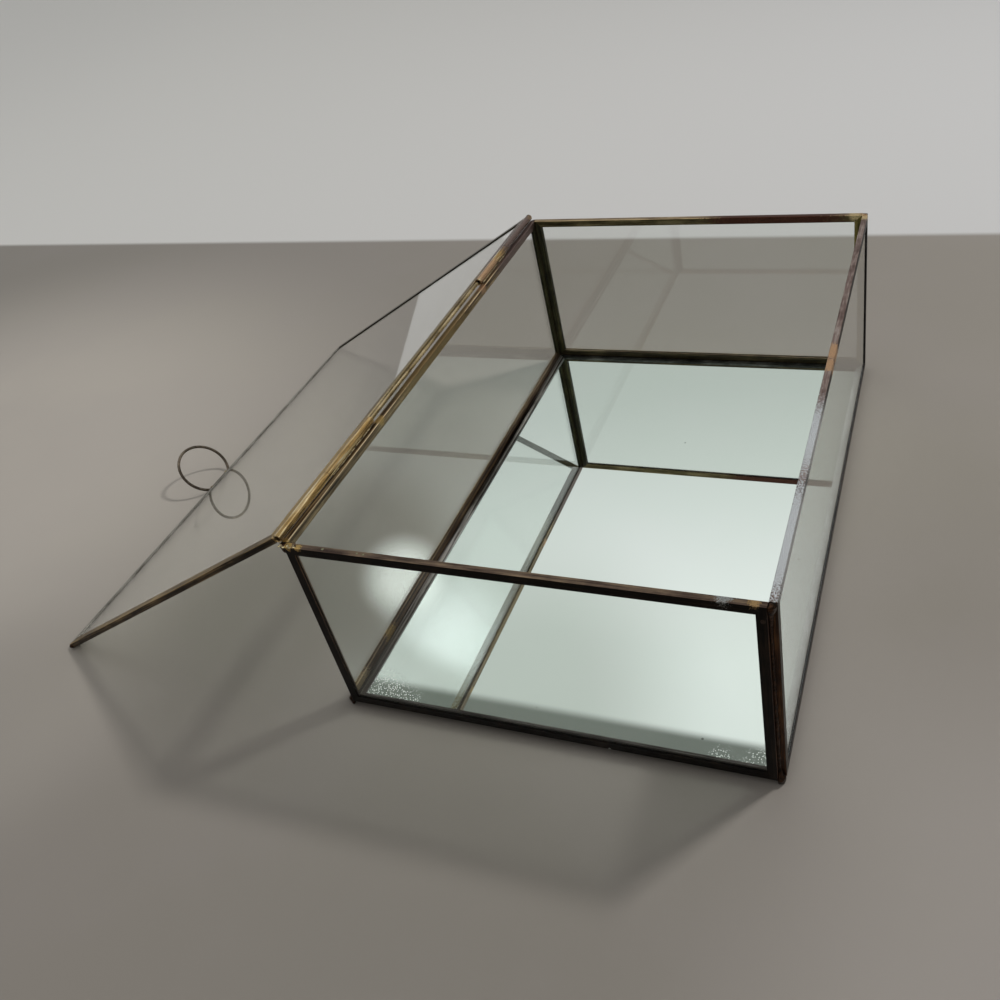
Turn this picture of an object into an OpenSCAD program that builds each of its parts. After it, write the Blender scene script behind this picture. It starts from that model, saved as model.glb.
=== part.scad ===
// Glass casket box: six panes, each edged with U-shaped brass channel, soldered
// together along their inner edges, with a mirror base backed with felt and a lid
// that folds right back on a tube hinge until its front edge rests on the table.
// The origin is at the centre of the base, on the table. +X is the opening side,
// -X the hinge side, +Z is up. The lid is drawn folded back.

/* [Box] */
// Width of the box, from the hinge side to the opening side
box_w = 200; // [120:1:300]
// Length of the box, along the hinge
box_l = 300; // [200:1:420]
// Height of the rim above the table
box_h = 100; // [50:1:160]

/* [Glass and channel] */
// Thickness of the glass panes and of the mirror
glass_t = 2; // [1.5:0.1:4]
// Play between a pane and each flange of its channel
pane_play = 0.05; // [0.02:0.01:0.15]
// Thickness of the brass in the channel
brass_t = 0.45; // [0.3:0.05:0.7]
// Depth of the channel, from its web to the edge of its flanges
channel_depth = 4; // [3:0.1:7]
// Radius on the two outer edges of the channel
channel_edge_r = 0.4; // [0.1:0.05:0.5]
// Gap between the edge of a pane and the web of its channel
pane_edge_gap = 0.3; // [0.1:0.1:1]
// Gap between the felt under the base and the channel around it
felt_gap = 0.2; // [0.1:0.1:1]

/* [Lid] */
// How far each end of the lid stands in from the end of the box
lid_inset = 2; // [0.5:0.5:10]
// Gap between the closed lid and the rim
lid_gap = 0.8; // [0.6:0.05:1.2]

/* [Hinge] */
// Outer diameter of the hinge tubes
tube_d = 3.8; // [3.4:0.1:5]
// Diameter of the hinge pin
pin_d = 1.8; // [1.2:0.1:2]
// Space all round the pin in the bore of the tubes
pin_play = 0.05; // [0.02:0.01:0.1]
// Diameter of the reamed mouth at each end of a tube
tube_mouth_d = 2.8; // [2.3:0.1:3]
// Depth of the reamed mouth
tube_mouth_depth = 1; // [0.4:0.1:2]
// Length of each hinge tube
tube_l = 41; // [20:1:46]
// Gap between two tubes that meet end to end
tube_gap = 0.4; // [0.3:0.1:1]
// How far the pin stops short of the open end of each outer tube
pin_inset = 6; // [2:1:15]
// How far the hinge axis stands outside the hinge side of the box
axis_out = 0.4; // [0.3:0.1:1.5]
// Space between a tube and the rim below it, filled with solder
tube_lift = 0.25; // [0.25:0.05:0.8]
// Space between a tube and the lid's channel beside it
tube_side_gap = 0.4; // [0.3:0.1:0.8]

/* [Ring pull] */
// Diameter of the ring, between the centres of its wire
ring_d = 31; // [20:0.5:50]
// Diameter of the ring's wire
wire_d = 1.7; // [1:0.1:2]
// Distance from the ring's centre to its straight bar
ring_bar_offset = 12; // [5:0.5:14]
// How far the ring leans outward from square to the lid, in degrees
ring_lean = 13.3; // [11:0.1:30]
// How far the ring sits towards the left end from the middle of the lid
ring_shift = 7.8; // [0:0.1:60]
// Space between the ring's bar and the lid's channel
bar_gap = 0.1; // [0.05:0.05:0.3]

/* [Solder] */
// Radius of the solder bead along each seam
bead_r = 1.1; // [0.6:0.1:1.6]
// Radius of the solder lump at each corner of the box
lump_r = 2; // [1.6:0.1:2.4]
// Height of a rim lump above the rim
lump_rise = 0.35; // [0.1:0.05:0.4]
// Radius of the solder lump at each front corner of the lid
lid_lump_r = 1.3; // [1:0.1:1.4]
// How far the solder on a hinge tube stops short of each end of it
hinge_solder_end = 2.5; // [2.5:0.5:8]
// Radius of the two lumps that hold the ring
ring_lump_r = 1.25; // [1.1:0.05:1.3]

/* [Hidden] */
// Small overlap that a cutting shape needs past the face that it cuts
cut = 1;
fine = 48;

// Channel and panes
channel_w = glass_t + 2 * (pane_play + brass_t);
pane_inset = brass_t + pane_edge_gap;

// Outlines of the panels, across and up. The wall panels stand over the gap
// around the base, and the panels' inner edges meet along the seams.
half_w = box_w / 2;
half_l = box_l / 2;
seam_x = half_w - channel_w;
seam_y = half_l - channel_w;
wall_h = box_h - channel_w;
wall_mid_z = channel_w + wall_h / 2;
side_panel = [2 * seam_y, wall_h];
end_panel = [2 * seam_x, wall_h];
base_panel = [2 * seam_x, 2 * seam_y];

// Hinge axis and lid. In the lid's own frame x runs from the axis to the lid's
// front edge, and z is the direction that its inner face looks in.
tube_r = tube_d / 2;
axis_x = -half_w - axis_out;
axis_z = box_h + tube_r + tube_lift;
lid_start = tube_r + tube_side_gap;
lid_end = half_w - axis_x;
lid_inner_z = axis_z - box_h - lid_gap;
lid_outer_z = lid_inner_z - channel_w;
lid_l = box_l - 2 * lid_inset;
lid_panel = [lid_end - lid_start, lid_l];
lid_mid = (lid_start + lid_end) / 2;

// Angle below the horizontal at which the lid's front edge touches the table
corner_reach = norm([lid_end, lid_outer_z]);
lid_droop = asin(axis_z / corner_reach) - atan(-lid_outer_z / lid_end);

// Heights of the corner lumps' centres
rim_lump_z = box_h + lump_rise - lump_r;
base_lump_z = channel_w - brass_t;

// Middles of the four hinge tubes along the hinge, and length of the solder on each
lid_tube_y = (lid_l - tube_l) / 2;
box_tube_y = lid_tube_y - tube_l - tube_gap;
hinge_solder_l = tube_l - 2 * hinge_solder_end;

// Ring, in the lid's own frame
wire_r = wire_d / 2;
ring_r = ring_d / 2;
bar_x = lid_end + bar_gap + wire_r;
bar_z = lid_inner_z - wire_r;
half_bar = sqrt(ring_r * ring_r - ring_bar_offset * ring_bar_offset);
bar_angle = asin(ring_bar_offset / ring_r);
ring_lump_y = half_bar - ring_lump_r - wire_r;

brass = [0.55, 0.43, 0.22];
dark_brass = [0.30, 0.23, 0.14];
solder = [0.62, 0.52, 0.34];
clear_glass = [0.75, 0.82, 0.80, 0.35];
silver = [0.80, 0.86, 0.83];
felt = [0.10, 0.09, 0.08];

// Section of the channel: web along y = 0, open towards +y, channel_w wide in x
module channel_section() {
    difference() {
        union() {
            translate([channel_edge_r, 0]) square([channel_w - 2 * channel_edge_r, channel_depth]);
            translate([0, channel_edge_r]) square([channel_w, channel_depth - channel_edge_r]);
            for (x = [channel_edge_r, channel_w - channel_edge_r])
                translate([x, channel_edge_r]) circle(r = channel_edge_r, $fn = 32);
        }
        translate([brass_t, brass_t])
            square([channel_w - 2 * brass_t, channel_depth]);
    }
}

// A length of channel along x, mitred at both ends, with its web at y = 0
module channel(length) {
    difference() {
        translate([length / 2, 0, 0])
            rotate([0, -90, 0]) linear_extrude(length) channel_section();
        for (side = [-1, 1])
            translate([side * length / 2, 0, -cut]) rotate([0, 0, 45])
                cube([2 * channel_depth, 2 * channel_depth, channel_w + 2 * cut]);
    }
}

// One edge channel of a panel whose outline is [across, up], centred on the origin
module edge_channel(outline, edge) {
    if (edge == "low") translate([0, -outline[1] / 2, 0]) channel(outline[0]);
    if (edge == "high") translate([0, outline[1] / 2, 0]) rotate([0, 0, 180]) channel(outline[0]);
    if (edge == "minus") translate([-outline[0] / 2, 0, 0]) rotate([0, 0, -90]) channel(outline[1]);
    if (edge == "plus") translate([outline[0] / 2, 0, 0]) rotate([0, 0, 90]) channel(outline[1]);
}

// The pane that a panel's four channels hold
module pane(outline) {
    translate([0, 0, channel_w / 2])
        cube([outline[0] - 2 * pane_inset, outline[1] - 2 * pane_inset, glass_t], center = true);
}

// Felt under the mirror, between the flanges of the base channels and flush with them
module base_felt() {
    thickness = brass_t + pane_play;
    inset = channel_depth + felt_gap;
    color(felt) translate([0, 0, thickness / 2])
        cube([base_panel[0] - 2 * inset, base_panel[1] - 2 * inset, thickness], center = true);
}

// Places of the panels, whose thickness runs from z = 0 to channel_w
module at_front() { translate([seam_x, 0, wall_mid_z]) rotate([90, 0, 90]) children(); }
module at_back() { translate([-half_w, 0, wall_mid_z]) rotate([90, 0, 90]) children(); }
module at_left() { translate([0, -seam_y, wall_mid_z]) rotate([90, 0, 0]) children(); }
module at_right() { translate([0, half_l, wall_mid_z]) rotate([90, 0, 0]) children(); }

// The lid's own frame, and the place of its panel in that frame
module lid_frame() {
    translate([axis_x, 0, axis_z]) rotate([0, -lid_droop, 0]) rotate([0, 0, 180]) children();
}
module at_lid() { lid_frame() translate([lid_mid, 0, lid_outer_z]) children(); }

// The four corners, seen so that the notch between the two walls lies in x > 0,
// y > 0, and the seam where their inner edges meet runs up the z axis
module at_corners() {
    for (corner = [[1, 1, 0], [-1, 1, 90], [-1, -1, 180], [1, -1, 270]])
        translate([corner[0] * seam_x, corner[1] * seam_y, 0])
            rotate([0, 0, corner[2]]) children();
}

// The block that the lid's panel fills
module lid_block() {
    translate([lid_start, -lid_l / 2, lid_outer_z])
        cube([lid_panel[0], lid_l, channel_w]);
}

// A solder bead: a quarter round of the given length, in the corner x > 0, y > 0
module bead(length) {
    intersection() {
        cylinder(r = bead_r, h = length, $fn = fine);
        cube([bead_r + cut, bead_r + cut, length]);
    }
}

// A ball of solder in a corner's notch, with its centre at height z
module lump_ball(z) {
    translate([lump_r / 2, lump_r / 2, z]) sphere(r = lump_r, $fn = fine);
}

// The same ball, cut back from the two walls and from the inside of the box
module corner_lump(z) {
    difference() {
        lump_ball(z);
        translate([-channel_w, 0, channel_w]) cube([channel_w, channel_w, wall_h]);
        translate([0, -channel_w, channel_w]) cube([channel_w, channel_w, wall_h]);
        translate([-channel_w, -channel_w, 0]) cube([channel_w, channel_w, box_h]);
    }
}
module rim_corner_solder() {
    color(solder) at_corners() corner_lump(rim_lump_z);
}
module base_corner_solder() {
    color(dark_brass) at_corners() corner_lump(base_lump_z);
}

// Beads up the four corners, in the notch between the two walls that meet there
module wall_seam_solder() {
    color(dark_brass) at_corners() difference() {
        translate([0, 0, base_lump_z]) bead(rim_lump_z - base_lump_z);
        lump_ball(rim_lump_z);
        lump_ball(base_lump_z);
    }
}

// Beads round the base, in the notch below the walls
module base_seam_solder() {
    end_x = seam_x - lump_r / 2;
    end_y = seam_y - lump_r / 2;
    color(dark_brass) translate([0, 0, channel_w]) {
        translate([seam_x, end_y, 0]) rotate([90, 0, 0]) mirror([0, 1, 0]) bead(2 * end_y);
        translate([-seam_x, -end_y, 0]) rotate([-90, 0, 0]) mirror([1, 0, 0]) bead(2 * end_y);
        translate([-end_x, seam_y, 0]) rotate([0, 90, 0]) bead(2 * end_x);
        translate([-end_x, -seam_y, 0]) rotate([0, 90, 0]) mirror([0, 1, 0]) bead(2 * end_x);
    }
}

// Hinge tubes lie along y, given by the middle of the tube. Each end is reamed.
module hinge_tube(y) {
    bore = pin_d + 2 * pin_play;
    translate([0, y, 0]) rotate([90, 0, 0]) difference() {
        cylinder(d = tube_d, h = tube_l, center = true, $fn = fine);
        cylinder(d = bore, h = tube_l + 2 * cut, center = true, $fn = fine);
        for (end = [0, 180])
            rotate([0, end, 0]) translate([0, 0, tube_l / 2 - tube_mouth_depth])
                cylinder(d1 = bore, d2 = tube_mouth_d, h = tube_mouth_depth, $fn = fine);
    }
}
module box_hinge_tube(y) {
    color(brass) translate([axis_x, 0, axis_z]) hinge_tube(y);
}
module lid_hinge_tube(y) {
    color(brass) lid_frame() hinge_tube(y);
}
module hinge_pin() {
    color(brass) translate([axis_x, 0, axis_z]) rotate([90, 0, 0])
        cylinder(d = pin_d, h = lid_l - 2 * pin_inset, center = true, $fn = fine);
}

// Solder between each box tube and the rim: seen along the hinge, it fills the
// space from the tube down to the rim's outer edge
module box_hinge_solder() {
    drop = tube_r + tube_lift;
    section = [[axis_out, -drop - 0.8], [axis_out, -drop], [axis_out + 1.2, -drop],
        [axis_out + 0.5, -tube_r / 2], [0, 0], [-tube_r / 2, -tube_r * 0.85]];
    color(solder) for (side = [-1, 1])
        translate([axis_x, side * box_tube_y, axis_z]) rotate([90, 0, 0]) difference() {
            linear_extrude(hinge_solder_l, center = true) polygon(section);
            cylinder(r = tube_r, h = tube_l, center = true, $fn = fine);
        }
}

// Solder between each lid tube and the lid's hinge channel
module lid_hinge_solder() {
    color(solder) lid_frame() for (side = [-1, 1])
        translate([0, side * lid_tube_y, 0]) difference() {
            translate([lid_start / 2, 0, 0])
                cube([lid_start, hinge_solder_l, tube_r], center = true);
            rotate([90, 0, 0]) cylinder(r = tube_r, h = tube_l, center = true, $fn = fine);
        }
}

// Lumps round the two front corners of the lid
module lid_corner_solder() {
    inset = 0.3 * lid_lump_r;
    color(dark_brass) lid_frame() for (side = [0, 1]) mirror([0, side, 0])
        translate([lid_end, lid_l / 2, (lid_inner_z + lid_outer_z) / 2]) difference() {
            translate([-inset, -inset, 0]) sphere(r = lid_lump_r, $fn = fine);
            translate([-channel_depth, -channel_depth, -channel_w / 2])
                cube([channel_depth, channel_depth, channel_w]);
        }
}

// The ring: a round of wire closed by a straight bar along the lid's front edge.
// In this frame the bar lies along y at the origin and the ring rises along +x.
module ring_frame() {
    lid_frame() translate([bar_x, ring_shift, bar_z]) rotate([0, ring_lean - 90, 0]) children();
}
module ring_bar() {
    rotate([90, 0, 0]) cylinder(r = wire_r, h = 2 * half_bar, center = true, $fn = 32);
}
module ring_pull() {
    color(brass) ring_frame() {
        ring_bar();
        for (side = [-1, 1])
            translate([0, side * half_bar, 0]) sphere(r = wire_r, $fn = 32);
        translate([ring_bar_offset, 0, 0]) rotate([0, 0, -90 - bar_angle])
            rotate_extrude(angle = 180 + 2 * bar_angle, $fn = 96)
                translate([ring_r, 0]) circle(r = wire_r, $fn = 32);
    }
}

// Solder along the ring's bar, with a lump near each end of it
module ring_solder() {
    color(solder) difference() {
        union() {
            lid_frame() translate([lid_end, ring_shift - ring_lump_y, bar_z - 0.7 * wire_r])
                cube([bar_x - lid_end, 2 * ring_lump_y, 1.4 * wire_r]);
            ring_frame() for (side = [-1, 1])
                translate([0, side * ring_lump_y, 0]) sphere(r = ring_lump_r, $fn = fine);
        }
        ring_frame() ring_bar();
        lid_frame() lid_block();
    }
}

// Panes
color(clear_glass) at_front() pane(side_panel);  // front_glass
color(clear_glass) at_back() pane(side_panel);  // back_glass
color(clear_glass) at_left() pane(end_panel);  // left_glass
color(clear_glass) at_right() pane(end_panel);  // right_glass
color(silver) pane(base_panel);  // base_mirror
base_felt();
color(clear_glass) at_lid() pane(lid_panel);  // lid_glass

// Channels of the front panel
color(dark_brass) at_front() edge_channel(side_panel, "high");  // front_channel_top
color(dark_brass) at_front() edge_channel(side_panel, "low");  // front_channel_bottom
color(dark_brass) at_front() edge_channel(side_panel, "minus");  // front_channel_left
color(dark_brass) at_front() edge_channel(side_panel, "plus");  // front_channel_right

// Channels of the back panel, on the hinge side
color(dark_brass) at_back() edge_channel(side_panel, "high");  // back_channel_top
color(dark_brass) at_back() edge_channel(side_panel, "low");  // back_channel_bottom
color(dark_brass) at_back() edge_channel(side_panel, "minus");  // back_channel_left
color(dark_brass) at_back() edge_channel(side_panel, "plus");  // back_channel_right

// Channels of the left end panel
color(dark_brass) at_left() edge_channel(end_panel, "high");  // left_channel_top
color(dark_brass) at_left() edge_channel(end_panel, "low");  // left_channel_bottom
color(dark_brass) at_left() edge_channel(end_panel, "plus");  // left_channel_front
color(dark_brass) at_left() edge_channel(end_panel, "minus");  // left_channel_back

// Channels of the right end panel
color(dark_brass) at_right() edge_channel(end_panel, "high");  // right_channel_top
color(dark_brass) at_right() edge_channel(end_panel, "low");  // right_channel_bottom
color(dark_brass) at_right() edge_channel(end_panel, "plus");  // right_channel_front
color(dark_brass) at_right() edge_channel(end_panel, "minus");  // right_channel_back

// Channels of the base
color(dark_brass) edge_channel(base_panel, "plus");  // base_channel_front
color(dark_brass) edge_channel(base_panel, "minus");  // base_channel_back
color(dark_brass) edge_channel(base_panel, "low");  // base_channel_left
color(dark_brass) edge_channel(base_panel, "high");  // base_channel_right

// Channels of the lid
color(brass) at_lid() edge_channel(lid_panel, "plus");  // lid_channel_front
color(brass) at_lid() edge_channel(lid_panel, "minus");  // lid_channel_hinge
color(dark_brass) at_lid() edge_channel(lid_panel, "high");  // lid_channel_left
color(dark_brass) at_lid() edge_channel(lid_panel, "low");  // lid_channel_right

// Solder, hinge and ring
wall_seam_solder();
base_seam_solder();
rim_corner_solder();
base_corner_solder();
box_hinge_tube(-box_tube_y);  // box_hinge_tube_left
box_hinge_tube(box_tube_y);  // box_hinge_tube_right
hinge_pin();
box_hinge_solder();
lid_corner_solder();
lid_hinge_tube(lid_tube_y);  // lid_hinge_tube_left
lid_hinge_tube(-lid_tube_y);  // lid_hinge_tube_right
lid_hinge_solder();
ring_pull();
ring_solder();
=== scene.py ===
"""Looks of the glass casket box: aged brass, solder, glass and mirror on the CAD frame."""

import math
import random

import bmesh
import bpy
from mathutils import Matrix, Vector, noise

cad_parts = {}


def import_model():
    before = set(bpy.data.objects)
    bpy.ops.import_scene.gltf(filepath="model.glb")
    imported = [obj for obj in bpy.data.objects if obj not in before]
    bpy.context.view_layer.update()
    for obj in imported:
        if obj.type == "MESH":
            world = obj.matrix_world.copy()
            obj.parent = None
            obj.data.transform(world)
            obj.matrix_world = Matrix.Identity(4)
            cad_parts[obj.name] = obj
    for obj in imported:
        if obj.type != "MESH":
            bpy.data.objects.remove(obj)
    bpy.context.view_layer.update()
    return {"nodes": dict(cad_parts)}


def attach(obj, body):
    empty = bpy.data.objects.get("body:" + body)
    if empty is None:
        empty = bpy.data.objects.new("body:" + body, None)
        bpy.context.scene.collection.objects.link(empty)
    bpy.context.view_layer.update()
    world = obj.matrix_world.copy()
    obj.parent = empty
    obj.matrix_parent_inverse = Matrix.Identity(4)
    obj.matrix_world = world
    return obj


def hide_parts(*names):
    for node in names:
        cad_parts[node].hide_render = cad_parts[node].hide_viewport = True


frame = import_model()

MM = 0.001

# The box as it stands in the frame, in metres
HALF_W = 0.100
HALF_L = 0.150
RIM_Z = 0.100
CHANNEL_W = 0.003
PIN_X = -0.1004
PIN_Z = 0.10215


# Shader helper

class Shader:
    """One material. A value may be a number, a tuple or another node's output."""

    def __init__(self, name):
        self.material = bpy.data.materials.new(name)
        self.material.use_nodes = True
        self.tree = self.material.node_tree
        self.tree.nodes.clear()
        self.coords = self.add("ShaderNodeTexCoord")
        self.place = self.coords.outputs["Object"]

    def add(self, kind, **settings):
        node = self.tree.nodes.new(kind)
        for key, value in settings.items():
            setattr(node, key, value)
        return node

    def put(self, socket, value):
        if isinstance(value, bpy.types.NodeSocket):
            self.tree.links.new(value, socket)
        elif isinstance(value, (tuple, list)) and len(value) == 3 and socket.type == "RGBA":
            socket.default_value = (*value, 1)
        else:
            socket.default_value = value

    def math(self, operation, a, b=0.0, clamp=False):
        node = self.add("ShaderNodeMath", operation=operation, use_clamp=clamp)
        self.put(node.inputs[0], a)
        self.put(node.inputs[1], b)
        return node.outputs[0]

    def stretch(self, scale, tilt=0.0):
        """Place in the object, turned back by tilt about Y and then scaled."""
        node = self.add("ShaderNodeMapping", vector_type="TEXTURE")
        self.put(node.inputs["Vector"], self.place)
        self.put(node.inputs["Scale"], tuple(1 / v for v in scale))
        self.put(node.inputs["Rotation"], (0.0, tilt, 0.0))
        return node.outputs[0]

    def noise(self, scale, detail=4.0, rough=0.55, stretch=None, distort=0.0, tilt=0.0):
        """Cloudy noise from 0 to 1, drawn out where stretch is below 1."""
        node = self.add("ShaderNodeTexNoise")
        self.put(node.inputs["Vector"], self.stretch(stretch, tilt) if stretch else self.place)
        self.put(node.inputs["Scale"], scale)
        self.put(node.inputs["Detail"], detail)
        self.put(node.inputs["Roughness"], rough)
        self.put(node.inputs["Distortion"], distort)
        return node.outputs["Fac"]

    def voronoi(self, scale):
        """Distance to the nearest of a scatter of points, 0 on each."""
        node = self.add("ShaderNodeTexVoronoi")
        self.put(node.inputs["Vector"], self.place)
        self.put(node.inputs["Scale"], scale)
        return node.outputs["Distance"]

    def ease(self, value, low, high):
        """0 below low and 1 above high, smooth between; low may be the larger one."""
        node = self.add("ShaderNodeMapRange", interpolation_type="SMOOTHSTEP")
        self.put(node.inputs["Value"], value)
        self.put(node.inputs["From Min"], low)
        self.put(node.inputs["From Max"], high)
        return node.outputs[0]

    def mix(self, fac, a, b):
        node = self.add("ShaderNodeMix", data_type="RGBA")
        self.put(node.inputs[0], fac)
        self.put(node.inputs[6], a)
        self.put(node.inputs[7], b)
        return node.outputs[2]

    def ramp(self, fac, stops):
        """A colour for fac, between the (place, colour) stops."""
        node = self.add("ShaderNodeValToRGB")
        self.put(node.inputs[0], fac)
        band = node.color_ramp
        while len(band.elements) < len(stops):
            band.elements.new(0.5)
        for element, (place, colour) in zip(band.elements, stops):
            element.position = place
            element.color = (*colour, 1)
        return node.outputs[0]

    def spot(self, centre, radius, soft):
        """1 within radius of a point of the object, fading to 0 over soft."""
        away = self.add("ShaderNodeVectorMath", operation="DISTANCE")
        self.put(away.inputs[0], self.place)
        self.put(away.inputs[1], centre)
        return self.ease(away.outputs["Value"], radius + soft, radius)

    def facing(self, axis):
        """How far the surface looks along an axis of the object, from -1 to 1."""
        node = self.add("ShaderNodeVectorMath", operation="DOT_PRODUCT")
        self.put(node.inputs[0], self.coords.outputs["Normal"])
        self.put(node.inputs[1], axis)
        return node.outputs["Value"]

    def along(self, axis):
        """Place along one axis of the object, in metres."""
        node = self.add("ShaderNodeSeparateXYZ")
        self.put(node.inputs[0], self.place)
        return node.outputs[axis]

    def bump(self, height, strength, distance):
        node = self.add("ShaderNodeBump")
        self.put(node.inputs["Height"], height)
        self.put(node.inputs["Strength"], strength)
        self.put(node.inputs["Distance"], distance)
        return node.outputs[0]

    def let_lamps_through(self, shader, tint):
        """Sheet glass casts a faint shadow: lamp light goes through it, dimmed by tint."""
        path = self.add("ShaderNodeLightPath")
        film = self.add("ShaderNodeBsdfTransparent")
        self.put(film.inputs["Color"], tint)
        mix = self.add("ShaderNodeMixShader")
        self.put(mix.inputs[0], path.outputs["Is Shadow Ray"])
        self.tree.links.new(shader.outputs[0], mix.inputs[1])
        self.tree.links.new(film.outputs[0], mix.inputs[2])
        self.tree.links.new(mix.outputs[0], self.output.inputs[0])

    def surface(self, **inputs):
        """Principled shader with the inputs given, underscores standing for spaces."""
        shader = self.add("ShaderNodeBsdfPrincipled")
        for key, value in inputs.items():
            self.put(shader.inputs[key.replace("_", " ")], value)
        self.output = self.add("ShaderNodeOutputMaterial")
        self.tree.links.new(shader.outputs[0], self.output.inputs[0])
        return shader


# Materials

def rgb(red, green, blue):
    """A colour read as 0 to 255 on screen, as the linear values that a shader takes."""
    return tuple(((v / 255 + 0.055) / 1.055) ** 2.4 if v > 10 else v / 255 / 12.92
                 for v in (red, green, blue))


X, Y, Z = 0, 1, 2
UP, LEFT_END, RIGHT_END, FRONT, BACK = (0, 0, 1), (0, -1, 0), (0, 1, 0), (1, 0, 0), (-1, 0, 0)

# The open lid slopes down to its front edge by this angle. Its directions: towards the
# hinge, towards its front edge, and out of its outer face, which looks at the table.
DROOP = math.radians(30.17)
LID_HINGEWARD, LID_FRONT, LID_OUTWARD = (0.865, 0, 0.503), (-0.865, 0, -0.503), (0.503, 0, -0.865)


def rail(name, along, tones, faces=(), patches=(), rough=0.4, metal=0.85, grain=1.0, edge=None,
         draw=0.08, lined=0.5, tilt=0.0, fineness=1100):
    """Aged brass channel, streaked along its length.

    tones are its dark, middle and lightest colours: dark patina, and streaks of worn metal
    with painted sheen. faces gives other tones to the faces that look along an axis: painted
    light and shade, each face toned as the light falls on it. patches are (centre, reach,
    colour, raggedness) places of solder, bare metal, other tones, or painted shade in a
    tube's mouth. edge is (axis, axis, colour): a painted highlight line, with some wear,
    where two faces meet. draw is how far the streaks are drawn out along the channel,
    smaller for longer streaks, and lined is how much of the tone they give. tilt turns them
    about Y, for a rail of the open lid. fineness is how many streaks lie side by side in a
    metre.
    """
    s = Shader(name)
    squeeze = tuple(draw if i == along else 1.0 for i in range(3))
    broad = s.noise(60, 4, 0.6)
    streak = s.noise(fineness, 6, 0.68, squeeze, 0.5, tilt)
    fine = s.noise(4200, 3, 0.6)
    tone = s.math("ADD", s.math("MULTIPLY", broad, 1 - lined), s.math("MULTIPLY", streak, lined))

    def shade(stops):
        dark, middle, wear_and_sheen = stops
        return s.ramp(tone, [(0.40, dark), (0.50, middle), (0.62, wear_and_sheen)])

    colour = shade(tones)
    # Face tones: painted light and shade on the faces that look along an axis.
    for axis, stops in faces:
        colour = s.mix(s.ease(s.facing(axis), 0.6, 0.85), colour, shade(stops))
    # Edge: a painted highlight line, with some wear, where two faces meet.
    if edge:
        first, second, wear_and_sheen = edge
        both = s.math("MULTIPLY", s.facing(first), s.facing(second))
        line = s.math("MULTIPLY", s.ease(both, 0.18, 0.40), s.ease(streak, 0.36, 0.52))
        colour = s.mix(line, colour, wear_and_sheen)
    pits = s.math("MULTIPLY", s.ease(fine, 0.42, 0.32), 0.55 * grain)
    colour = s.mix(pits, colour, tones[0])
    roughness = s.math("ADD", rough - 0.08, s.math("MULTIPLY", s.noise(300, 4), 0.2))
    height = s.math("ADD", streak, s.math("MULTIPLY", fine, 0.4 * grain))
    island = s.math("SUBTRACT", s.noise(1300, 6, 0.75), 0.5)
    grit = s.noise(2800, 4, 0.7)
    for centre, reach, patch, ragged in patches:
        mask = s.math("ADD", s.spot(centre, 0.0, 1.6 * reach), s.math("MULTIPLY", island, ragged))
        mask = s.ease(mask, 0.50, 0.62)
        gritty = s.mix(s.ease(grit, 0.36, 0.58), tuple(v * 0.35 for v in patch), patch)
        colour = s.mix(mask, colour, gritty)
        height = s.math("ADD", height, s.math("MULTIPLY", mask, 0.6))
    s.surface(Base_Color=colour, Metallic=metal, Roughness=roughness,
              Normal=s.bump(height, 0.30, 0.00012))
    return s.material


def hand_solder(name, pale, dark, rough=0.34):
    """Soft solder run by hand: dimpled, with dark flux left in its hollows."""
    s = Shader(name)
    cloud = s.noise(650, 5, 0.62)
    pits = s.voronoi(1900)
    colour = s.ramp(cloud, [(0.38, dark), (0.52, tuple(0.5 * (a + b) for a, b in zip(pale, dark))),
                            (0.64, pale)])
    colour = s.mix(s.math("MULTIPLY", s.ease(pits, 0.28, 0.10), 0.5), colour, dark)
    height = s.math("ADD", cloud, s.math("MULTIPLY", pits, 0.5))
    s.surface(Base_Color=colour, Metallic=0.9, Roughness=rough,
              Normal=s.bump(height, 0.6, 0.0003))
    return s.material


def pane_glass(name, tint):
    """Clear sheet glass with faint wiped smears."""
    s = Shader(name)
    smear = s.noise(14, 5, 0.62, distort=0.9)
    rough = s.math("MULTIPLY", s.ease(smear, 0.55, 0.85), 0.05)
    glass = s.surface(Base_Color=tint, Roughness=rough, IOR=1.5, Transmission_Weight=1.0)
    s.let_lamps_through(glass, (0.62, 0.645, 0.63))
    return s.material


def mirror_glass(name):
    """Silvered glass: a green cast, a few dark dots, and flux spattered at two corners."""
    s = Shader(name)
    colour = s.mix(s.ease(s.noise(9, 3), 0.3, 0.8), (0.795, 0.885, 0.83), (0.82, 0.89, 0.85))
    dots = s.ease(s.voronoi(38), 0.035, 0.02)
    colour = s.mix(s.math("MULTIPLY", dots, 0.6), colour, rgb(70, 75, 70))
    rough = s.math("MULTIPLY", s.ease(s.noise(20, 5, 0.65), 0.55, 0.8), 0.04)
    grains = s.ease(s.voronoi(1250), 0.40, 0.26)
    spatter = s.math("MULTIPLY", grains, s.ease(s.noise(620, 3), 0.36, 0.50))
    metal = 1.0
    for centre, radius, soft in (((-0.088, -0.143, 0.003), 0.008, 0.012),
                                 ((-0.074, -0.146, 0.003), 0.004, 0.010),
                                 ((0.090, -0.144, 0.003), 0.003, 0.010),
                                 ((0.073, -0.143, 0.003), 0.001, 0.007)):
        flux = s.math("MULTIPLY", spatter, s.spot(centre, radius, soft))
        colour = s.mix(s.math("MULTIPLY", flux, 0.75), colour, rgb(222, 228, 220))
        rough = s.math("MAXIMUM", rough, s.math("MULTIPLY", flux, 0.55))
        metal = s.math("SUBTRACT", metal, s.math("MULTIPLY", flux, 0.8), clamp=True)
    s.surface(Base_Color=colour, Metallic=metal, Roughness=rough)
    return s.material


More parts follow.
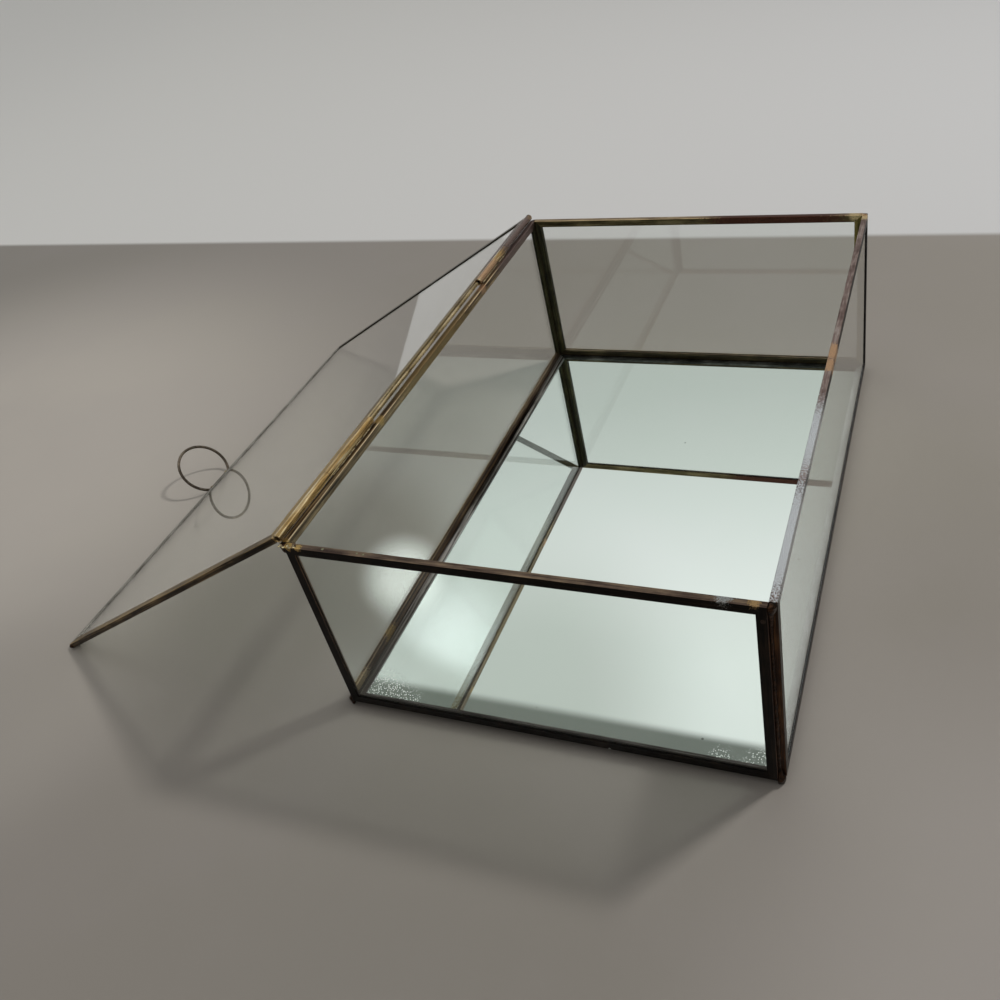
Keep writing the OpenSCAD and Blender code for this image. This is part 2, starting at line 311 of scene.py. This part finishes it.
def felt_cloth(name):
    """Dark felt with a short matt pile."""
    s = Shader(name)
    fibre = s.noise(2600, 6, 0.7)
    colour = s.ramp(fibre, [(0.3, (0.010, 0.009, 0.009)), (0.7, (0.035, 0.032, 0.030))])
    s.surface(Base_Color=colour, Roughness=0.95, Normal=s.bump(fibre, 0.6, 0.0004))
    return s.material


# Tones of the channels: dark, middle, and lightest, the lightest both worn metal and painted
# sheen. Given to faces, the tones are painted light and shade.
BLACK = (rgb(6, 4, 3), rgb(16, 11, 8), rgb(40, 30, 22))
UMBER = (rgb(24, 15, 11), rgb(52, 36, 27), rgb(96, 74, 56))
RIM = (rgb(58, 44, 37), rgb(96, 80, 68), rgb(142, 122, 98))
MAUVE = (rgb(86, 68, 62), rgb(128, 108, 101), rgb(172, 160, 152))
OLIVE = (rgb(58, 50, 30), rgb(96, 86, 58), rgb(140, 126, 94))
OLIVE_DARK = (rgb(30, 26, 14), rgb(62, 54, 34), rgb(100, 90, 62))
TAN = (rgb(92, 74, 54), rgb(140, 120, 92), rgb(190, 170, 138))
PEWTER = (rgb(50, 50, 48), rgb(92, 92, 90), rgb(160, 162, 160))
LINE = (rgb(110, 106, 98), rgb(136, 132, 124), rgb(162, 158, 150))
LID_WEB = (rgb(12, 9, 6), rgb(50, 40, 27), rgb(134, 112, 80))
# PALE_PAINTED_LIGHT: painted light, the brightness of inner faces low in the box seen through the
# glass.
PALE_PAINTED_LIGHT = (rgb(206, 213, 211), rgb(230, 237, 235), rgb(246, 250, 249))
RIM_LINES = (rgb(34, 22, 15), rgb(110, 88, 63), rgb(216, 192, 150))
RIM_INNER = (rgb(34, 24, 16), rgb(96, 78, 56), rgb(190, 166, 128))
INNER = (rgb(18, 12, 9), rgb(66, 50, 36), rgb(150, 126, 94))
BASE_TOP = (rgb(14, 11, 9), rgb(84, 80, 75), rgb(206, 203, 197))
LID_FACE = (rgb(60, 48, 30), rgb(112, 92, 58), rgb(182, 156, 108))
# LID_BACK_REFLECTION: painted reflection, the pale of the bright glow that the lid's hinge rail
# shows in the mirror.
LID_BACK_REFLECTION = (rgb(150, 140, 118), rgb(214, 206, 190), rgb(236, 230, 218))
CORNER = (rgb(86, 76, 30), rgb(132, 118, 58), rgb(168, 152, 94))
FOOT_TOP = (rgb(26, 24, 23), rgb(58, 56, 53), rgb(98, 95, 90))
POST_FACE = (rgb(26, 14, 8), rgb(64, 40, 24), rgb(112, 78, 46))
POST_FAR = (rgb(18, 18, 10), rgb(50, 48, 27), rgb(98, 92, 58))
BASE_FAR = (rgb(34, 36, 34), rgb(70, 72, 68), rgb(120, 122, 116))
LID_FAR = (rgb(60, 56, 46), rgb(84, 80, 70), rgb(110, 106, 96))
LID_FAR_WEB = (rgb(50, 48, 40), rgb(72, 68, 58), rgb(96, 92, 80))
# TUBE's lightest tone is a painted highlight along the tubes' streaks.
TUBE = (rgb(40, 22, 10), rgb(176, 142, 86), rgb(255, 244, 208))
PIN = (rgb(90, 74, 48), rgb(160, 140, 100), rgb(216, 196, 156))
WIRE = (rgb(60, 52, 44), rgb(98, 88, 76), rgb(140, 128, 112))

# Solder, bare metal, specks, and painted shade for the open ends of the hinge tubes
GOLD = rgb(196, 164, 102)
PALE_GOLD = rgb(218, 194, 146)
TIN = rgb(196, 198, 192)
PALE_TIN = rgb(226, 230, 232)
COPPER = rgb(206, 166, 128)
SPECK = rgb(150, 150, 118)
SCRAPE = rgb(66, 54, 46)
# MOUTH_SHADE: painted shade in the open ends of the hinge tubes and where the pin goes into them.
MOUTH_SHADE = rgb(9, 7, 5)

# In the channels below, face tones paint the light and shade that falls on each face, and edge
# lines are painted highlights with some wear.
rim_near = rail("brass_rim_near", X, RIM, [(LEFT_END, BLACK), (RIGHT_END, TAN)], [
    ((0.0925, -0.1482, RIM_Z), 0.0026, rgb(176, 144, 98), 2.8),
    ((-0.0960, -0.1490, RIM_Z), 0.0034, GOLD, 2.2),
    ((-0.0905, -0.1492, RIM_Z), 0.0022, GOLD, 2.4),
    ((-0.0790, -0.1484, RIM_Z), 0.0008, SPECK, 1.2),
    ((-0.0630, -0.1485, RIM_Z), 0.0007, SPECK, 1.2),
    ((-0.0600, -0.1486, RIM_Z), 0.0006, SPECK, 1.2),
    ((0.0820, -0.1470, RIM_Z), 0.0040, PEWTER[2], 3.0),
], edge=(UP, RIGHT_END, rgb(186, 164, 128)), draw=0.04, lined=0.65)
rim_side = rail("brass_rim_side", Y, MAUVE, [(FRONT, BLACK), (BACK, OLIVE_DARK)], [
    ((0.0985, 0.0090, RIM_Z), 0.0085, COPPER, 2.2),
    ((0.0985, -0.0020, RIM_Z), 0.0065, COPPER, 2.4),
    ((0.0985, -0.0550, RIM_Z), 0.0300, PALE_TIN, 3.4),
    ((0.0985, -0.1150, RIM_Z), 0.0420, PALE_TIN, 2.8),
    ((0.0985, 0.1450, RIM_Z), 0.0040, PALE_GOLD, 1.8),
], rough=0.46, grain=1.6)
rim_far = rail("brass_rim_far", X, TAN, [(LEFT_END, OLIVE), (RIGHT_END, UMBER)], [
    ((0.0930, 0.1485, RIM_Z), 0.0050, PALE_GOLD, 2.8),
    ((0.0500, 0.1460, 0.0980), 0.0500, rgb(84, 50, 38), 1.6),
], edge=(UP, LEFT_END, rgb(196, 172, 132)), draw=0.04, lined=0.65)
rim_hinge = rail("brass_rim_hinge", Y, RIM_LINES, [(FRONT, RIM_INNER), (BACK, UMBER)], [
    ((-0.0985, -0.1480, RIM_Z), 0.0040, GOLD, 2.2),
    ((-0.0985, -0.0620, RIM_Z), 0.0040, GOLD, 2.4),
    ((-0.0985, 0.0640, RIM_Z), 0.0050, COPPER, 2.4),
    ((-0.0990, 0.0000, RIM_Z), 0.0560, rgb(150, 126, 84), 2.2),
    ((-0.0985, 0.1200, 0.0985), 0.0460, MAUVE[1], 1.4),
], rough=0.40, grain=1.6, edge=(UP, FRONT, rgb(236, 212, 172)), draw=0.02, lined=0.85,
    fineness=650)
post_near = rail("brass_post_near", Z, BLACK, [(LEFT_END, BLACK), (FRONT, POST_FACE)], [
    ((0.0954, -0.1500, 0.0542), 0.0022, rgb(8, 7, 7), 1.0),
    ((0.0954, -0.1500, 0.0929), 0.0013, SCRAPE, 1.0),
], rough=0.36, draw=0.03, lined=0.65)
# post_front: the cream line along its inner edge is a painted highlight.
post_front = rail("brass_post_front", Z, BLACK, [(LEFT_END, BLACK), (FRONT, POST_FACE)], [
    ((0.0954, -0.1500, 0.0929), 0.0013, SCRAPE, 1.0),
], rough=0.36, edge=(LEFT_END, BACK, rgb(214, 196, 164)), draw=0.03, lined=0.65)
post_side = rail("brass_post_side", Z, UMBER, [(LEFT_END, POST_FACE), (FRONT, BLACK)], rough=0.34,
                 draw=0.03, lined=0.65)
post_far = rail("brass_post_far", Z, POST_FAR, rough=0.36, metal=0.5, draw=0.03, lined=0.65)
post_corner = rail("brass_post_corner", Z, BLACK, [(LEFT_END, CORNER), (BACK, CORNER)], rough=0.75,
                   metal=0.2)
post_edge = rail("brass_post_edge", Z, BLACK, [(BACK, OLIVE_DARK)], rough=0.5, metal=0.5)
foot_near = rail("brass_foot_near", X, BLACK, [(LEFT_END, BLACK), (UP, BLACK)], [
    ((0.0280, -0.1500, 0.0035), 0.0008, TIN, 1.2),
], rough=0.34)
foot_far = rail("brass_foot_far", X, OLIVE_DARK, [(LEFT_END, OLIVE_DARK), (UP, TAN)],
                edge=(UP, LEFT_END, rgb(190, 180, 140)), metal=0.6, draw=0.03, lined=0.7)
# foot_side: its pale inner face is painted light.
foot_side = rail("brass_foot_side", Y, BLACK, [(FRONT, BLACK), (BACK, PALE_PAINTED_LIGHT)], metal=0.2)
foot_hinge = rail("brass_foot_hinge", Y, UMBER, [(FRONT, INNER), (BACK, BLACK), (UP, TAN)], [
    ((-0.0970, -0.1400, 0.0040), 0.0100, rgb(186, 164, 124), 3.4),
    ((-0.0970, -0.1080, 0.0040), 0.0060, rgb(168, 138, 72), 3.4),
], edge=(UP, FRONT, rgb(238, 226, 206)), draw=0.015, lined=0.85, fineness=650)
base_near = rail("brass_base_near", X, BLACK, [(UP, FOOT_TOP), (LEFT_END, BLACK)], rough=0.34,
                 draw=0.03, lined=0.7)
# base_side: its pale top is painted light.
base_side = rail("brass_base_side", Y, PEWTER, [(FRONT, BLACK), (UP, PALE_PAINTED_LIGHT)], rough=0.36, metal=0.2)
base_hinge = rail("brass_base_hinge", Y, PEWTER, [(BACK, BLACK), (UP, BASE_TOP)], rough=0.34,
                  edge=(UP, FRONT, rgb(236, 232, 222)), draw=0.015, lined=0.9, fineness=650)
base_far = rail("brass_base_far", X, BASE_FAR, rough=0.34)
# The lid hinge rail's outward face is painted pale: a painted reflection of the bright glow.
lid_hinge_rail = rail("brass_lid_hinge", Y, LID_FACE, [
    (LID_HINGEWARD, TAN), (LID_OUTWARD, LID_BACK_REFLECTION)], [
    ((-0.1030, -0.1100, 0.1010), 0.0500, GOLD, 2.6),
    ((-0.1030, 0.1180, 0.1010), 0.0400, MAUVE[1], 1.4),
    ((-0.1025, 0.0000, 0.1010), 0.0580, rgb(152, 134, 94), 2.0),
], edge=(UP, LID_HINGEWARD, rgb(206, 188, 150)), draw=0.02, lined=0.8, fineness=650)
lid_near_rail = rail("brass_lid_near", X, LID_FACE, [(LEFT_END, LID_WEB)],
                     edge=(UP, LEFT_END, rgb(176, 152, 112)), draw=0.03, lined=0.7, tilt=-DROOP)
lid_tip_rail = rail("brass_lid_tip", Y, LINE, [(LID_FRONT, UMBER)], rough=0.5, grain=0.4)
lid_far_rail = rail("brass_lid_far", X, LID_FAR, [(LEFT_END, LID_FAR_WEB)], grain=0.5, tilt=-DROOP)
# The hinge tubes: streaks brightened with painted highlight, and painted shade in their open ends.
tube_brass = rail("brass_tube", Y, TUBE, (), [
    ((PIN_X, 0.1250, 0.1030), 0.0300, MAUVE[1], 1.6),
    ((-0.1000, 0.0780, 0.1030), 0.0160, COPPER, 1.8),
    ((PIN_X, -0.1480, PIN_Z), 0.0018, MOUTH_SHADE, 0.2),
    ((PIN_X, 0.0655, PIN_Z), 0.0018, MOUTH_SHADE, 0.2),
], rough=0.20, grain=0.5, draw=0.03, lined=0.85, fineness=600)
# The pin: painted shade where its ends go into the tubes.
pin_brass = rail("brass_pin", Y, PIN, (), [
    ((PIN_X, -0.1420, PIN_Z), 0.0018, MOUTH_SHADE, 0.2),
    ((PIN_X, 0.1420, PIN_Z), 0.0018, MOUTH_SHADE, 0.2),
    ((PIN_X, 0.0650, PIN_Z), 0.0018, MOUTH_SHADE, 0.2),
], rough=0.25, grain=0.5, draw=0.02)
ring_brass = rail("brass_ring", Z, WIRE, rough=0.42, grain=0.6)
dark_solder = hand_solder("solder_dark", rgb(74, 50, 34), rgb(16, 10, 7))
gold_solder = hand_solder("solder_gold", rgb(246, 230, 186), rgb(60, 42, 22), 0.22)
pale_solder = hand_solder("solder_pale", rgb(216, 188, 146), rgb(128, 92, 56))
clear = pane_glass("glass_wall", (0.955, 0.975, 0.962))
clear_far = pane_glass("glass_wall_far", (0.90, 0.915, 0.895))
clear_lid = pane_glass("glass_lid", (0.965, 0.980, 0.970))
mirror = mirror_glass("mirror_glass")
felt = felt_cloth("felt")

LOOKS = {
    "front_glass": clear, "back_glass": clear, "left_glass": clear, "right_glass": clear_far,
    "lid_glass": clear_lid, "base_mirror": mirror, "base_felt": felt,
    "front_channel_top": rim_side, "back_channel_top": rim_hinge,
    "left_channel_top": rim_near, "right_channel_top": rim_far,
    "front_channel_bottom": foot_side, "back_channel_bottom": foot_hinge,
    "left_channel_bottom": foot_near, "right_channel_bottom": foot_far,
    "front_channel_left": post_side, "left_channel_front": post_front,
    "left_channel_back": post_near, "back_channel_left": post_near,
    "front_channel_right": post_edge, "right_channel_front": post_corner,
    "back_channel_right": post_far, "right_channel_back": post_far,
    "base_channel_front": base_side, "base_channel_back": base_hinge,
    "base_channel_left": base_near, "base_channel_right": base_far,
    "lid_channel_front": lid_tip_rail, "lid_channel_hinge": lid_hinge_rail,
    "lid_channel_left": lid_near_rail, "lid_channel_right": lid_far_rail,
    "wall_seam_solder": dark_solder, "base_seam_solder": dark_solder,
    "rim_corner_solder": dark_solder, "base_corner_solder": dark_solder,
    "box_hinge_solder": gold_solder, "lid_hinge_solder": gold_solder,
    "lid_corner_solder": dark_solder, "ring_solder": gold_solder,
    "box_hinge_tube_left": tube_brass, "box_hinge_tube_right": tube_brass,
    "lid_hinge_tube_left": tube_brass, "lid_hinge_tube_right": tube_brass,
    "hinge_pin": pin_brass, "ring_pull": ring_brass,
}
for node in frame["nodes"]:
    cad = bpy.data.objects[node]
    cad.data.materials.clear()
    cad.data.materials.append(LOOKS[node])


# Hand-run solder in place of the CAD's plain beads

def wobble(point, scale, seed):
    """Noise from -1 to 1 at a place, in two layers."""
    at = Vector(point) * scale + Vector((seed * 7.1, seed * 3.3, seed * 5.7))
    return 0.7 * noise.noise(at) + 0.3 * noise.noise(at * 2.7)


def place(name, mesh, material, body, slot, *nodes):
    """Puts a piece in the scene, on a body, in place of CAD nodes."""
    mesh.materials.append(material)
    for face in mesh.polygons:
        face.use_smooth = True
    piece = bpy.data.objects.new(name, mesh)
    bpy.context.scene.collection.objects.link(piece)
    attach(piece, body)
    if nodes:
        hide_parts(*nodes)
    return piece


def solid_of(mesh_tool, name, voxel):
    """One closed skin round everything in a bmesh, as a new mesh."""
    rough = bpy.data.meshes.new(name + "_rough")
    mesh_tool.to_mesh(rough)
    mesh_tool.free()
    holder = bpy.data.objects.new(name + "_rough", rough)
    bpy.context.scene.collection.objects.link(holder)
    skin = holder.modifiers.new("skin", "REMESH")
    skin.mode = "VOXEL"
    skin.voxel_size = voxel
    seen = holder.evaluated_get(bpy.context.evaluated_depsgraph_get())
    mesh = bpy.data.meshes.new_from_object(seen)
    mesh.name = name
    bpy.data.objects.remove(holder)
    bpy.data.meshes.remove(rough)
    return mesh


def roughen(mesh, depth, scale, seed):
    """Moves each point of a skin in or out along its normal, as solder run by hand."""
    moved = [v.co + v.normal * depth * wobble(v.co, scale, seed) for v in mesh.vertices]
    for vertex, co in zip(mesh.vertices, moved):
        vertex.co = co


def worked(node, material, body, slot, voxel=0.00022, depth=0.00022, scale=900, seed=1):
    """A CAD bead of solder, with the uneven skin of hand-run solder."""
    tool = bmesh.new()
    tool.from_mesh(bpy.data.objects[node].data)
    mesh = solid_of(tool, node + "_run", voxel)
    roughen(mesh, depth, scale, seed)
    return place(node + "_run", mesh, material, body, slot, node)


def corner_fill(name, node, seed, levels):
    """Solder in the notch between two walls, at the four corners of the box.

    levels are (height, radius) in metres, from the lowest to the highest: the solder's
    rounded face stands that far out from the seam. The top is closed with a low dome.
    """
    tool = bmesh.new()
    seam_x, seam_y = HALF_W - CHANNEL_W, HALF_L - CHANNEL_W
    inside = 0.00005
    row_height = 0.0005
    steps = 10
    rows = []
    for (z0, r0), (z1, r1) in zip(levels, levels[1:]):
        count = max(2, int(abs(z1 - z0) / row_height))
        for i in range(count):
            f = i / count
            rows.append((z0 + (z1 - z0) * f, r0 + (r1 - r0) * (3 * f * f - 2 * f ** 3)))
    rows.append(levels[-1])
    for sx, sy in ((1, 1), (-1, 1), (-1, -1), (1, -1)):
        rings = []
        for z, radius in rows:
            ring = [tool.verts.new((sx * seam_x, sy * seam_y, z))]
            for k in range(steps + 1):
                angle = math.pi / 2 * k / steps
                reach = radius * (1 + 0.16 * math.sin(2 * angle))
                x = seam_x + reach * math.cos(angle)
                y = seam_y + reach * math.sin(angle)
                reach *= 1 + 0.20 * wobble((sx * x, sy * y, z), 420, seed)
                x = min(seam_x + reach * math.cos(angle), HALF_W - inside)
                y = min(seam_y + reach * math.sin(angle), HALF_L - inside)
                ring.append(tool.verts.new((sx * x, sy * y, z)))
            rings.append(ring)
        for low, high in zip(rings, rings[1:]):
            for k in range(len(low)):
                n = (k + 1) % len(low)
                tool.faces.new((low[k], low[n], high[n], high[k]))
        bottom, top = rings[0], rings[-1]
        dome = tool.verts.new((sx * (seam_x + 0.0012), sy * (seam_y + 0.0012),
                               levels[-1][0] + 0.00035))
        foot = tool.verts.new((sx * (seam_x + 0.0006), sy * (seam_y + 0.0006), levels[0][0]))
        for k in range(len(top)):
            n = (k + 1) % len(top)
            tool.faces.new((top[k], top[n], dome))
            tool.faces.new((bottom[n], bottom[k], foot))
    bmesh.ops.recalc_face_normals(tool, faces=tool.faces)
    mesh = bpy.data.meshes.new(name)
    tool.to_mesh(mesh)
    tool.free()
    return place(name, mesh, dark_solder, "box", "dark_solder", node)


corner_fill("rim_corner_run", "rim_corner_solder", 3,
            [(0.0880, 0.0011), (0.0940, 0.0016), (0.0975, 0.0027), (0.0998, 0.0028)])
corner_fill("wall_seam_run", "wall_seam_solder", 5,
            [(0.0080, 0.0011), (0.0350, 0.0012), (0.0650, 0.0010), (0.0880, 0.0011)])
corner_fill("base_corner_run", "base_corner_solder", 8,
            [(0.0006, 0.0026), (0.0030, 0.0028), (0.0050, 0.0018), (0.0080, 0.0011)])


def drops(name, centres, material, seed, voxel):
    """Solder drops on the box melted together: (x, y, z, radius, flatness) in millimetres."""
    tool = bmesh.new()
    for x, y, z, radius, flat in centres:
        place_at = Matrix.Translation((x * MM, y * MM, z * MM))
        shape = Matrix.Diagonal((radius * MM, radius * MM, radius * MM * flat, 1))
        bmesh.ops.create_icosphere(tool, subdivisions=3, radius=1.0, matrix=place_at @ shape)
    mesh = solid_of(tool, name, voxel)
    roughen(mesh, 0.00018, 1500, seed)
    return place(name, mesh, material, "box", "dark_solder")


random.seed(4)
granules = [(-99.3 + 0.75 * i + random.uniform(-0.4, 0.4), -149.4 + random.uniform(-0.5, 1.1),
             99.75 + random.uniform(-0.1, 0.15), random.uniform(0.45, 0.85), 0.6)
            for i in range(10)]
granules += [(-99.4 + random.uniform(-0.4, 0.4), -149.3 + 0.8 * i, 99.7,
              random.uniform(0.4, 0.7), 0.6) for i in range(5)]
drops("rim_solder_granules", granules, gold_solder, 2, 0.00014)
drops("rim_solder_far_corner", [(98.2, 147.6, 99.7, 1.5, 0.4), (96.6, 148.6, 99.8, 1.1, 0.35),
                                (99.0, 145.8, 99.7, 1.0, 0.4), (94.5, 148.9, 99.8, 0.8, 0.35)],
      pale_solder, 6, 0.00016)
worked("box_hinge_solder", gold_solder, "box", "hinge_solder", depth=0.00020, seed=1)
worked("lid_hinge_solder", gold_solder, "lid", "hinge_solder", depth=0.00016, seed=2)
worked("lid_corner_solder", dark_solder, "lid", "dark_solder", voxel=0.00015, depth=0.00012,
       seed=3)
worked("ring_solder", gold_solder, "lid", "ring_solder", voxel=0.00012, depth=0.00012,
       scale=1400, seed=4)


# Floor, light and camera

def floor():
    """A pale table top, with a paler backdrop beyond it as in the photograph."""
    mesh = bpy.data.meshes.new("floor")
    half = 6.0
    backdrop_y = 0.322
    mesh.from_pydata([(-half, -half, 0), (half, -half, 0), (half, half, 0), (-half, half, 0)],
                     [], [(0, 1, 2, 3)])
    plane = bpy.data.objects.new("floor", mesh)
    bpy.context.scene.collection.objects.link(plane)
    s = Shader("floor")
    # Painted light and shade: the table is darker at the front and lighter towards the back.
    table = s.ramp(s.ease(s.along(Y), -0.30, 0.32), [
        (0.0, (0.236, 0.212, 0.182)), (0.68, (0.262, 0.238, 0.203)), (1.0, (0.232, 0.211, 0.183))])
    # Spots: a painted pool of light left of the box, painted light at the front right and front
    # left, and painted shade in front of the box and under the lid.
    for centre, radius, soft, tone in (
            ((-0.50, -0.02, 0), 0.10, 0.26, (0.445, 0.405, 0.352)),
            ((0.18, -0.20, 0), 0.04, 0.13, (0.315, 0.287, 0.257)),
            ((-0.02, -0.19, 0), 0.04, 0.15, (0.220, 0.200, 0.172)),
            ((-0.18, -0.10, 0), 0.02, 0.08, (0.214, 0.196, 0.165)),
            ((-0.28, -0.20, 0), 0.02, 0.08, (0.300, 0.272, 0.235))):
        table = s.mix(s.spot(centre, radius, soft), table, tone)
    mottle = s.noise(6, 3)
    table = s.mix(s.math("MULTIPLY", s.ease(mottle, 0.4, 0.6), 0.10), table, (0.30, 0.265, 0.265))
    beyond = s.ease(s.along(Y), backdrop_y, backdrop_y + 0.008)
    # The backdrop is paler to the left: painted light from the window side.
    backdrop = s.ramp(s.ease(s.along(X), -1.2, 0.6), [
        (0.0, (0.70, 0.69, 0.655)), (1.0, (0.485, 0.48, 0.475))])
    colour = s.mix(beyond, table, backdrop)
    s.surface(Base_Color=colour, Roughness=0.6)
    mesh.materials.append(s.material)


def area_lamp(name, place, aim, size, watts):
    """A square lamp that looks from its place at aim, and isn't seen in metal or glass."""
    lamp = bpy.data.lights.new(name, "AREA")
    lamp.shape = "SQUARE"
    lamp.size = size
    lamp.energy = watts
    holder = bpy.data.objects.new(name, lamp)
    holder.location = place
    holder.rotation_euler = (Vector(aim) - Vector(place)).to_track_quat("-Z", "Y").to_euler()
    holder.visible_glossy = False
    bpy.context.scene.collection.objects.link(holder)


def world():
    """Soft white light all round, stronger from one side.

    Metal, mirror and glass show a pale room: brighter above a darker lower part, a dim
    ceiling, and one bright lamp.
    """
    room = bpy.data.worlds.new("room")
    bpy.context.scene.world = room
    room.use_nodes = True
    tree = room.node_tree
    tree.nodes.clear()
    link = tree.links.new

    def add(kind, **settings):
        node = tree.nodes.new(kind)
        for key, value in settings.items():
            setattr(node, key, value)
        return node

    def join(socket, value):
        if isinstance(value, bpy.types.NodeSocket):
            link(value, socket)
        else:
            socket.default_value = value

    def sums(operation, a, b=0.0):
        node = add("ShaderNodeMath", operation=operation)
        join(node.inputs[0], a)
        join(node.inputs[1], b)
        return node.outputs[0]

    def ease(value, low, high):
        node = add("ShaderNodeMapRange", interpolation_type="SMOOTHSTEP")
        for socket, given in zip(("Value", "From Min", "From Max"), (value, low, high)):
            join(node.inputs[socket], given)
        return node.outputs[0]

    def blend(fac, a, b):
        node = add("ShaderNodeMix", data_type="RGBA")
        join(node.inputs[0], fac)
        join(node.inputs[6], a)
        join(node.inputs[7], b)
        return node.outputs[2]

    def near(direction, inner, outer):
        """1 within inner of a direction, fading to 0 at outer."""
        node = add("ShaderNodeVectorMath", operation="DISTANCE")
        join(node.inputs[0], way)
        join(node.inputs[1], direction)
        return ease(node.outputs["Value"], outer, inner)

    coords = add("ShaderNodeTexCoord")
    way = coords.outputs["Generated"]
    split = add("ShaderNodeSeparateXYZ")
    join(split.inputs[0], way)
    band = add("ShaderNodeValToRGB")
    join(band.inputs[0], split.outputs["Z"])
    stops = [(0.0, (0.30, 0.30, 0.29)), (0.40, (0.46, 0.47, 0.455)), (0.56, (0.60, 0.61, 0.60)),
             (0.76, (0.98, 0.98, 0.98))]
    while len(band.color_ramp.elements) < len(stops):
        band.color_ramp.elements.new(0.5)
    for element, (place, colour) in zip(band.color_ramp.elements, stops):
        element.position = place
        element.color = (*colour, 1)
    grey_wall = (-0.36, 0.55, 0.75)
    dark_corner = (0.530, 0.570, 0.630)
    glow = (0.440, 0.562, 0.703)
    bulb = (0.486, 0.584, 0.650)
    ceiling_slope = 1.39
    seen = blend(near(grey_wall, 0.05, 0.20), band.outputs[0], (0.66, 0.67, 0.65, 1))
    seen = blend(near(dark_corner, 0.06, 0.13), seen, (0.22, 0.22, 0.21, 1))
    above = ease(split.outputs["Y"], 0.530, 0.552)
    wide = sums("MULTIPLY", near(glow, 0.0, 0.082), above)
    seen = blend(wide, seen, (2.7, 2.8, 2.9, 1))
    seen = blend(near(bulb, 0.012, 0.050), seen, (4.0, 4.0, 4.0, 1))
    steep = sums("SUBTRACT", split.outputs["Z"],
                 sums("MULTIPLY", split.outputs["Y"], ceiling_slope))
    toward = ease(split.outputs["Y"], 0.30, 0.40)
    ceiling = sums("MULTIPLY", ease(steep, 0.0, 0.018), toward)
    seen = blend(ceiling, seen, (0.19, 0.20, 0.185, 1))

    path = add("ShaderNodeLightPath")
    direct = sums("MAXIMUM", path.outputs["Is Camera Ray"], path.outputs["Is Glossy Ray"])
    direct = sums("MAXIMUM", direct, path.outputs["Is Transmission Ray"])
    view = add("ShaderNodeBackground")
    join(view.inputs[0], seen)
    light = add("ShaderNodeBackground")
    light.inputs[0].default_value = (1, 1, 1, 1)
    window = (-0.795, 0.348, 0.497)
    all_round, from_window = 0.38, 0.90
    aside = sums("MULTIPLY", near(window, 0.25, 0.62), from_window)
    join(light.inputs[1], sums("ADD", aside, all_round))
    mix = add("ShaderNodeMixShader")
    join(mix.inputs[0], direct)
    link(light.outputs[0], mix.inputs[1])
    link(view.outputs[0], mix.inputs[2])
    output = add("ShaderNodeOutputWorld")
    link(mix.outputs[0], output.inputs[0])


def camera():
    """The photograph's viewpoint, fitted to the lines of the box in it."""
    lens = bpy.data.cameras.new("camera")
    focal_share = 0.99526
    lens.sensor_width = 36
    lens.lens = focal_share * lens.sensor_width
    lens.shift_x = -0.0453
    lens.shift_y = -0.0390
    holder = bpy.data.objects.new("camera", lens)
    holder.location = (0.14797, -0.38050, 0.34760)
    holder.rotation_euler = [math.radians(a) for a in (52.8856, 10.1920, 19.8282)]
    bpy.context.scene.collection.objects.link(holder)
    bpy.context.scene.camera = holder


floor()
world()
area_lamp("key", (0.78, 0.70, 1.45), (0, 0, 0.05), 0.16, 16.0)
camera()
bpy.context.scene.view_settings.view_transform = "Standard"
